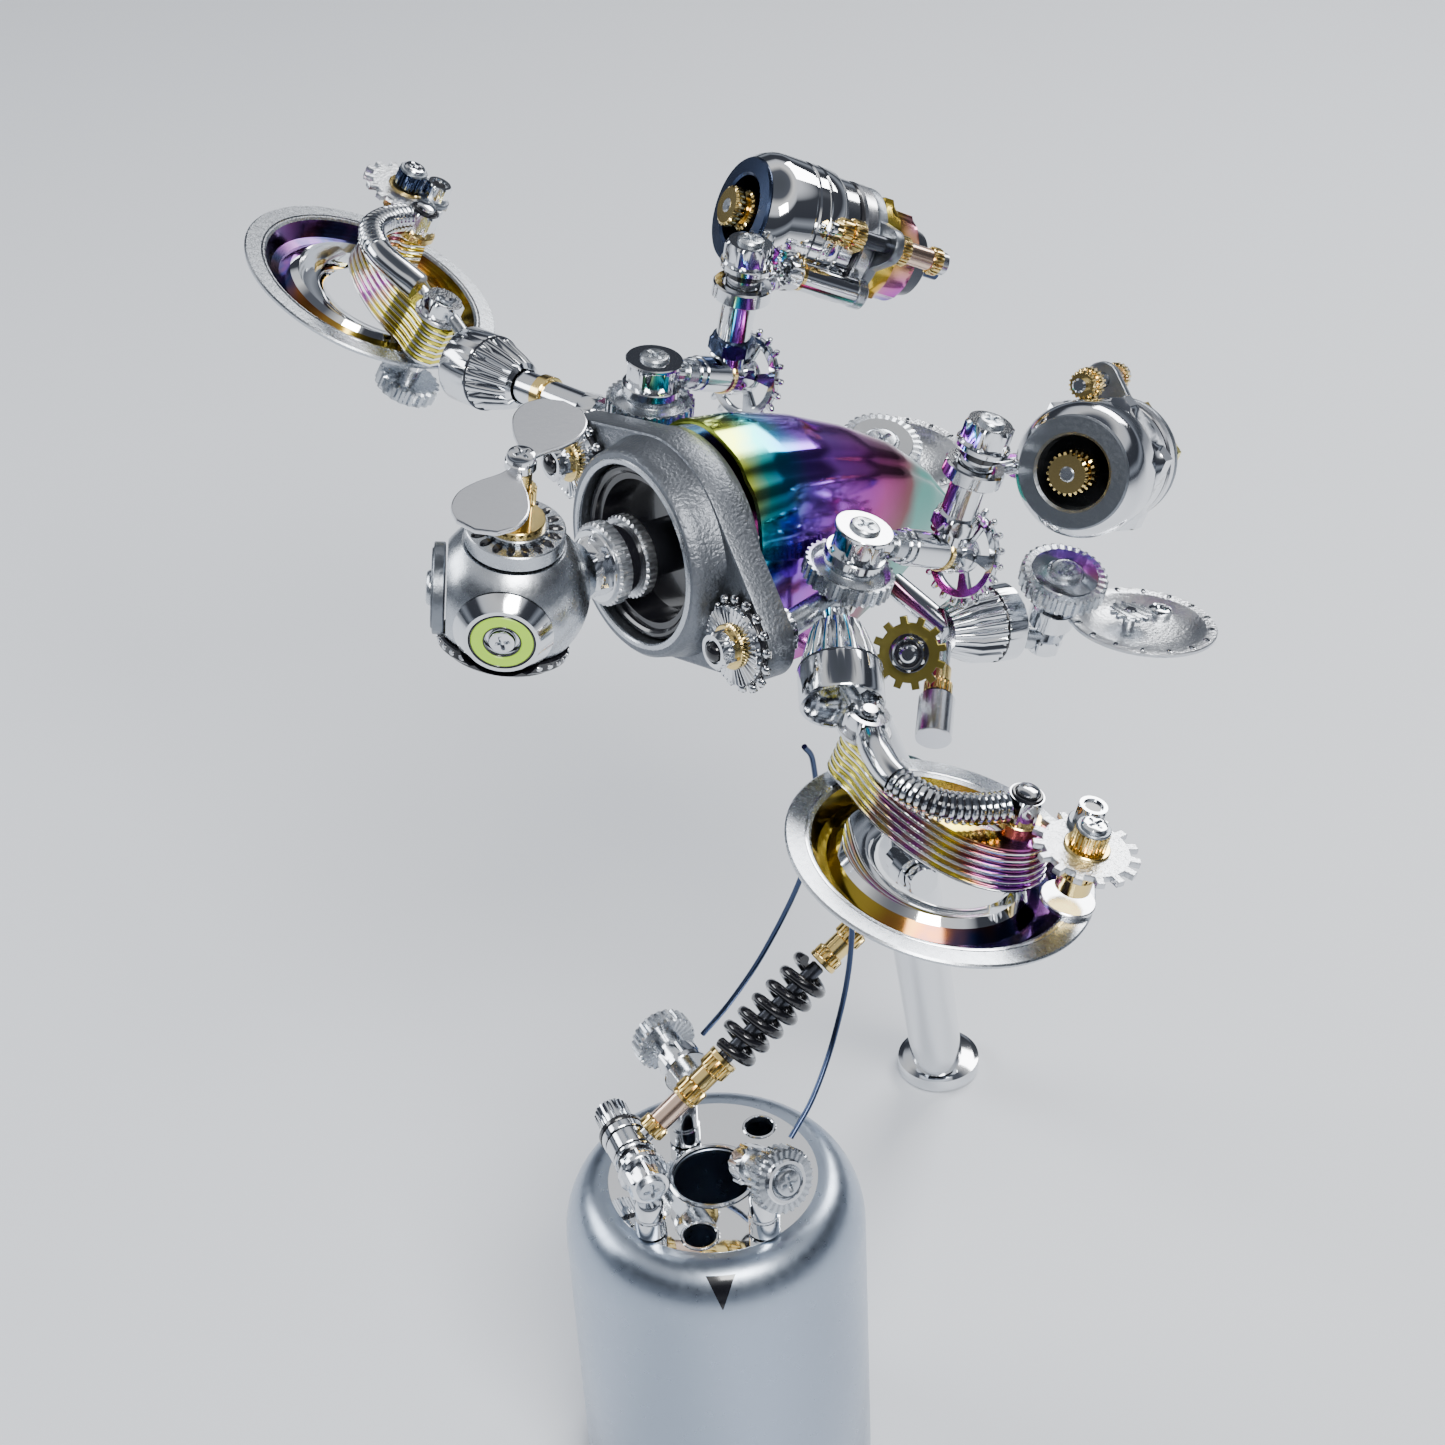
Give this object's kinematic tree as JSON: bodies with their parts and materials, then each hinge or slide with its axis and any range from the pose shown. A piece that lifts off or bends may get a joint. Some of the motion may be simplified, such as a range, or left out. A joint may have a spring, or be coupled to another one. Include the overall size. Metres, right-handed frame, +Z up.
{
  "type": "hexapod spider robot",
  "caption": "Flying-craft sculpture of polished machine parts: round-eyed head with propeller, flanged hull, jointed thruster and scoop arms, on a spring-strut canister stand.",
  "frame": {"origin": "centre of the canister's flat bottom face", "axes": "+Z up along the canister's axis; the craft's nose points towards -Y and its left (near) side towards +X"},
  "size_m": [0.2342, 0.1568, 0.2559],
  "materials": {
    "chrome": "mirror-polished plating",
    "satin_steel": "satin, lightly mottled",
    "cast_grey": "grey hammered coating",
    "brass": "polished",
    "gunmetal": "dark blue-black, semi-gloss",
    "rainbow_titanium": "heat-coloured, cyan to purple",
    "black_gloss": "gloss black",
    "lime_enamel": "flat lime green"
  },
  "bodies": {
    "stand_and_hull": {"base_canister": "satin_steel", "belly_cylinder": "chrome", "belly_hanger": "chrome", "belly_sprocket": "gunmetal", "bore_neck": "black_gloss", "far_front_bell": "chrome", "far_rear_pivot": "satin_steel", "far_scoop_hinge_bolt": "chrome", "far_shoulder_disc": "satin_steel", "flange_housing": "cast_grey", "keel_plate": "gunmetal", "left_anchor_bolt": "chrome", "near_front_bell": "chrome", "near_rear_pivot": "satin_steel", "near_scoop_hinge_bolt": "chrome", "near_shoulder_disc": "satin_steel", "post_left": "chrome", "post_rear": "chrome", "post_right": "chrome", "rear_clamp_knob": "satin_steel", "right_clamp_knob": "satin_steel", "stay_wire_rear": "gunmetal", "stay_wire_right": "gunmetal", "strut_clamp": "chrome", "strut_lower_rod": "brass", "strut_spring": "gunmetal", "strut_upper_rod": "brass", "support_foot": "chrome", "support_tube": "chrome", "tail_hood": "rainbow_titanium"},
    "head": {"head_ball": "satin_steel", "head_top_disc": "satin_steel", "head_eye_boss": "chrome", "head_eye_ring": "lime_enamel", "head_side_disc": "cast_grey", "head_studded_disc": "gunmetal"},
    "propeller": {"propeller": "satin_steel"},
    "near_ear_wheel": {"near_ear_sprocket": "chrome"},
    "near_arm": {"near_elbow_arm": "chrome", "near_riser_post": "chrome"},
    "near_wheel": {"near_spoked_wheel": "chrome"},
    "near_thruster": {"near_thruster_body": "chrome", "near_thruster_core": "brass"},
    "near_scoop": {"near_scoop_dish": "chrome", "near_laminated_claw": "rainbow_titanium", "near_flex_hose": "satin_steel"},
    "near_gear": {"near_star_gear": "chrome"},
    "near_rear_scoop": {"near_rear_dish": "chrome"},
    "far_ear_wheel": {"far_ear_sprocket": "chrome"},
    "far_arm": {"far_elbow_arm": "chrome", "far_riser_post": "chrome"},
    "far_wheel": {"far_spoked_wheel": "chrome"},
    "far_thruster": {"far_thruster_body": "chrome", "far_thruster_core": "brass"},
    "far_scoop": {"far_scoop_dish": "chrome", "far_laminated_claw": "rainbow_titanium", "far_flex_hose": "satin_steel"},
    "far_gear": {"far_star_gear": "chrome"},
    "far_rear_scoop": {"far_rear_dish": "chrome"}
  },
  "joints": [
    {"name": "head_swivel", "type": "hinge", "parent": "stand_and_hull", "child": "head", "pos_m": [-0.0226, -0.00454, 0.21271], "axis": [0, -0.9923, 0.124], "range_deg": [-60, 60]},
    {"name": "propeller_spin", "type": "hinge", "parent": "head", "child": "propeller", "pos_m": [-0.01786, -0.01715, 0.2403], "axis": [0.1803, 0.0601, 0.9818], "continuous": true},
    {"name": "near_ear_spin", "type": "hinge", "parent": "stand_and_hull", "child": "near_ear_wheel", "pos_m": [0.00289, 0.01133, 0.20341], "axis": [0, -0.9923, 0.124], "continuous": true},
    {"name": "near_shoulder_swivel", "type": "hinge", "parent": "stand_and_hull", "child": "near_arm", "pos_m": [0.0026, 0.0356, 0.2079], "axis": [0.1995, 0.2494, 0.9476], "range_deg": [-20, 10]},
    {"name": "near_wheel_spin", "type": "hinge", "parent": "near_arm", "child": "near_wheel", "pos_m": [0.00295, 0.06218, 0.20074], "axis": [-0.023, 0.9049, -0.425], "continuous": true},
    {"name": "near_thruster_swivel", "type": "hinge", "parent": "near_arm", "child": "near_thruster", "pos_m": [0.00691, 0.06329, 0.22545], "axis": [0.163, 0.259, 0.952], "range_deg": [-20, 20]},
    {"name": "near_scoop_hinge", "type": "hinge", "parent": "stand_and_hull", "child": "near_scoop", "pos_m": [0.02526, 0.01705, 0.18436], "axis": [0.1629, 0.1898, 0.9682], "range_deg": [-20, 20]},
    {"name": "near_gear_spin", "type": "hinge", "parent": "near_scoop", "child": "near_gear", "pos_m": [0.06603, 0.03046, 0.17487], "axis": [0.1629, 0.1898, 0.9682], "continuous": true},
    {"name": "near_rear_scoop_swivel", "type": "hinge", "parent": "stand_and_hull", "child": "near_rear_scoop", "pos_m": [0.0093, 0.0811, 0.1903], "axis": [0.2706, 0.0301, 0.9622], "range_deg": [-15, 15]},
    {"name": "far_ear_spin", "type": "hinge", "parent": "stand_and_hull", "child": "far_ear_wheel", "pos_m": [-0.04809, 0.01312, 0.21781], "axis": [0, -0.9923, 0.124], "continuous": true},
    {"name": "far_shoulder_swivel", "type": "hinge", "parent": "stand_and_hull", "child": "far_arm", "pos_m": [-0.0499, 0.031, 0.2216], "axis": [0.0899, 0.1198, 0.9887], "range_deg": [-20, 20]},
    {"name": "far_wheel_spin", "type": "hinge", "parent": "far_arm", "child": "far_wheel", "pos_m": [-0.05338, 0.05557, 0.21726], "axis": [-0.151, 0.9218, -0.3569], "continuous": true},
    {"name": "far_thruster_swivel", "type": "hinge", "parent": "far_arm", "child": "far_thruster", "pos_m": [-0.04928, 0.05425, 0.24311], "axis": [0.134, 0.154, 0.9789], "range_deg": [-20, 20]},
    {"name": "far_scoop_hinge", "type": "hinge", "parent": "stand_and_hull", "child": "far_scoop", "pos_m": [-0.1087, 0.01604, 0.21354], "axis": [0.2993, 0.3492, 0.888], "range_deg": [-20, 20]},
    {"name": "far_gear_spin", "type": "hinge", "parent": "far_scoop", "child": "far_gear", "pos_m": [-0.14852, 0.03344, 0.22012], "axis": [0.2993, 0.3492, 0.888], "continuous": true},
    {"name": "far_rear_scoop_swivel", "type": "hinge", "parent": "stand_and_hull", "child": "far_rear_scoop", "pos_m": [-0.045, 0.0818, 0.1949], "axis": [0.301, -0.0301, 0.9532], "range_deg": [-15, 15]}
  ]
}
